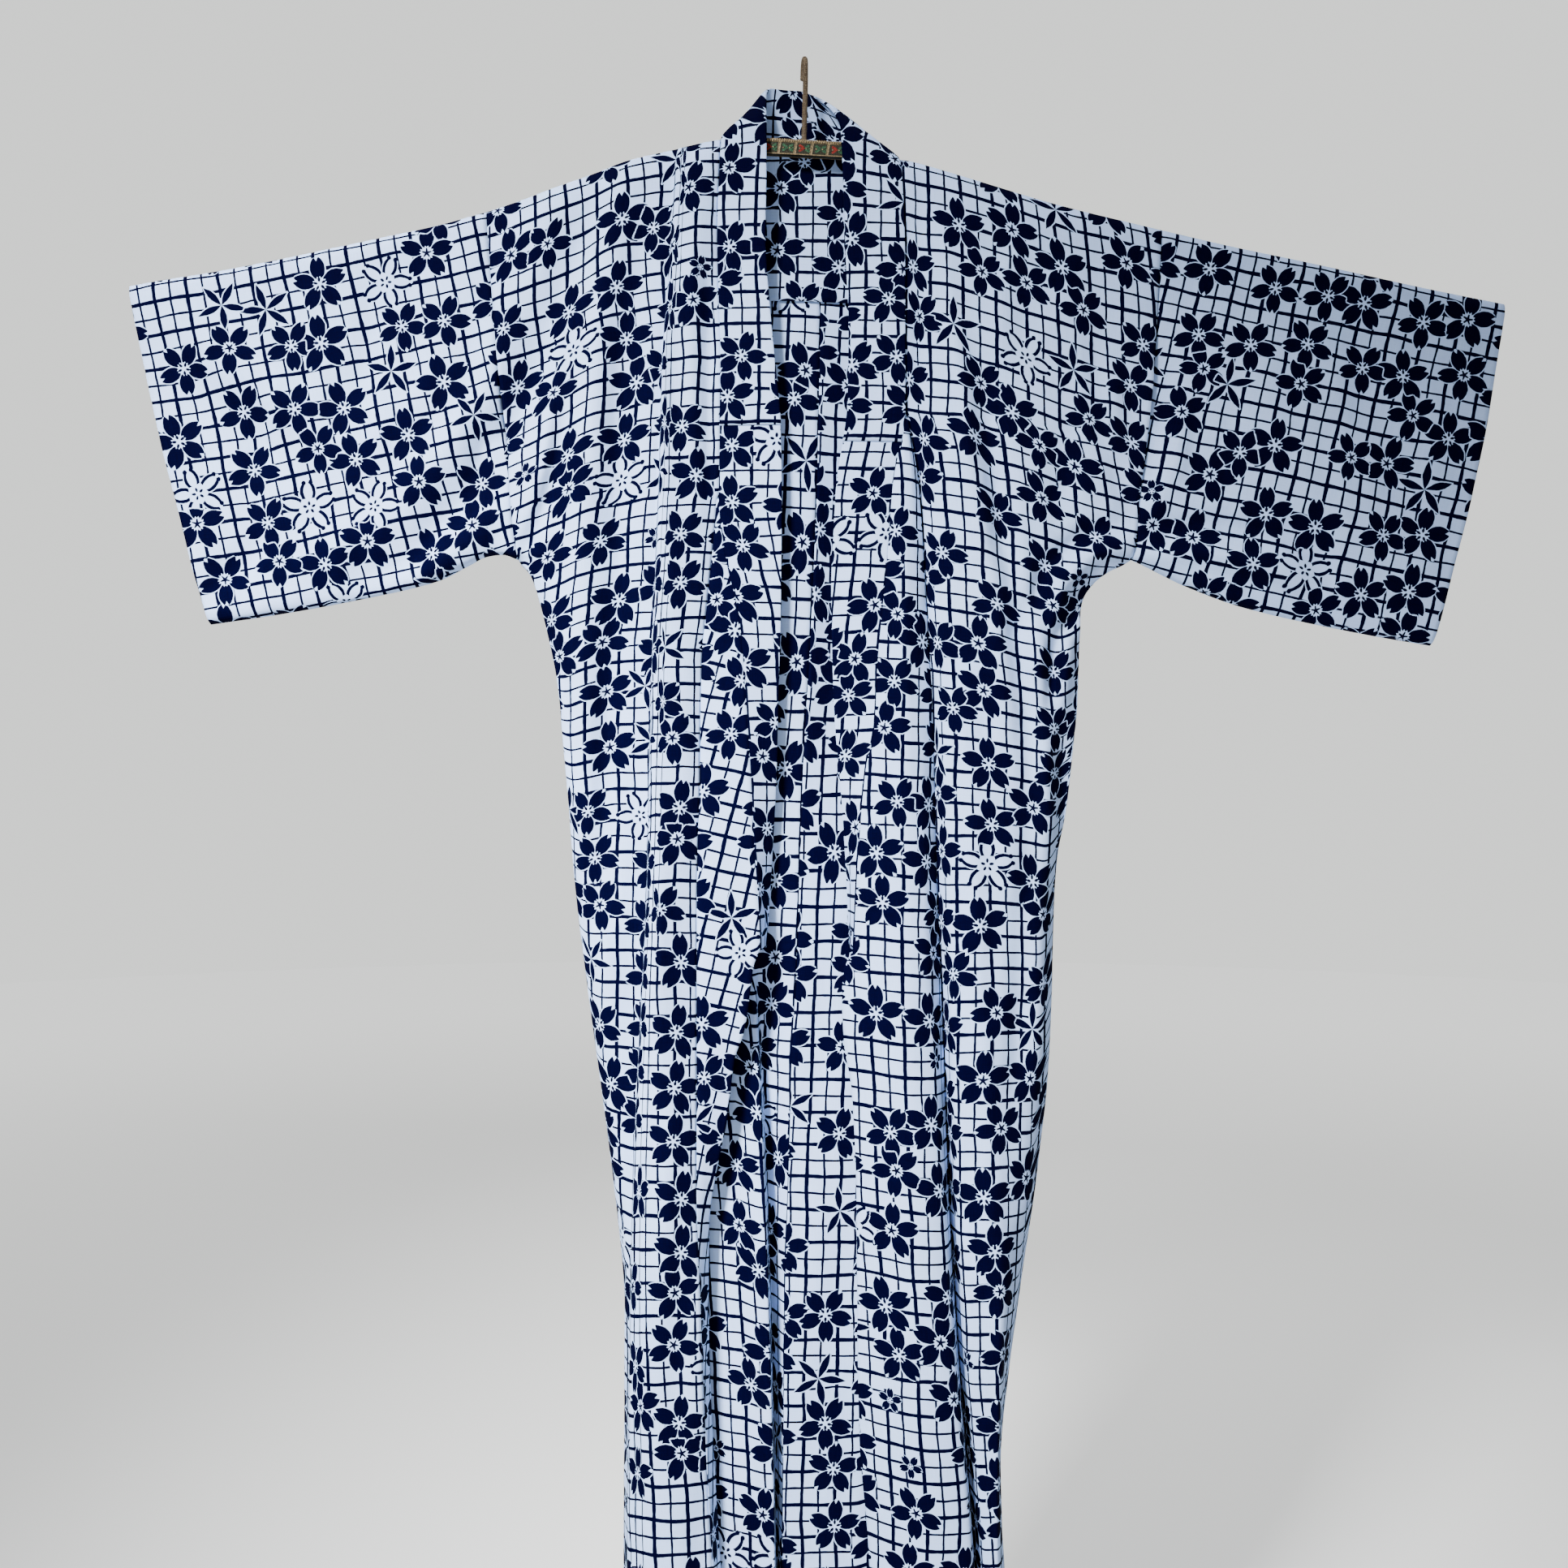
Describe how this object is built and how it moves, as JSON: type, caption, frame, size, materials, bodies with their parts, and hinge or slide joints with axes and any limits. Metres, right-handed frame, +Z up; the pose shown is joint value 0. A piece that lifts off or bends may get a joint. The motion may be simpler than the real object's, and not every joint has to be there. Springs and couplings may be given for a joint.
{
  "type": "cotton yukata robe on a clothes hanger",
  "caption": "Open-fronted cotton yukata robe with wide sleeves and a long collar band, hung on a thin-armed hanger with a cord-wrapped hook.",
  "frame": {"origin": "bearing point of the hanger's hook, inside the top of its loop", "axes": "+Z up, -Y out of the robe's front, +X towards the wearer's left sleeve"},
  "size_m": [1.3, 0.0787, 1.508],
  "materials": {
    "cloth": "plain-weave cotton, white ground with a dark navy print",
    "bar_wood": "brown wood with gold-edged frames",
    "hook_cord": "brown cord wound on wire"
  },
  "bodies": {
    "root": {"body_right": "cloth", "body_left": "cloth", "okumi_right": "cloth", "okumi_left": "cloth", "collar": "cloth", "over_collar": "cloth", "sleeve_right": "cloth", "sleeve_left": "cloth", "shoulder_lining": "cloth", "hanger_bar": "bar_wood", "hanger_arm_right": "bar_wood", "hanger_arm_left": "bar_wood", "hanger_hook": "hook_cord"}
  },
  "joints": []
}
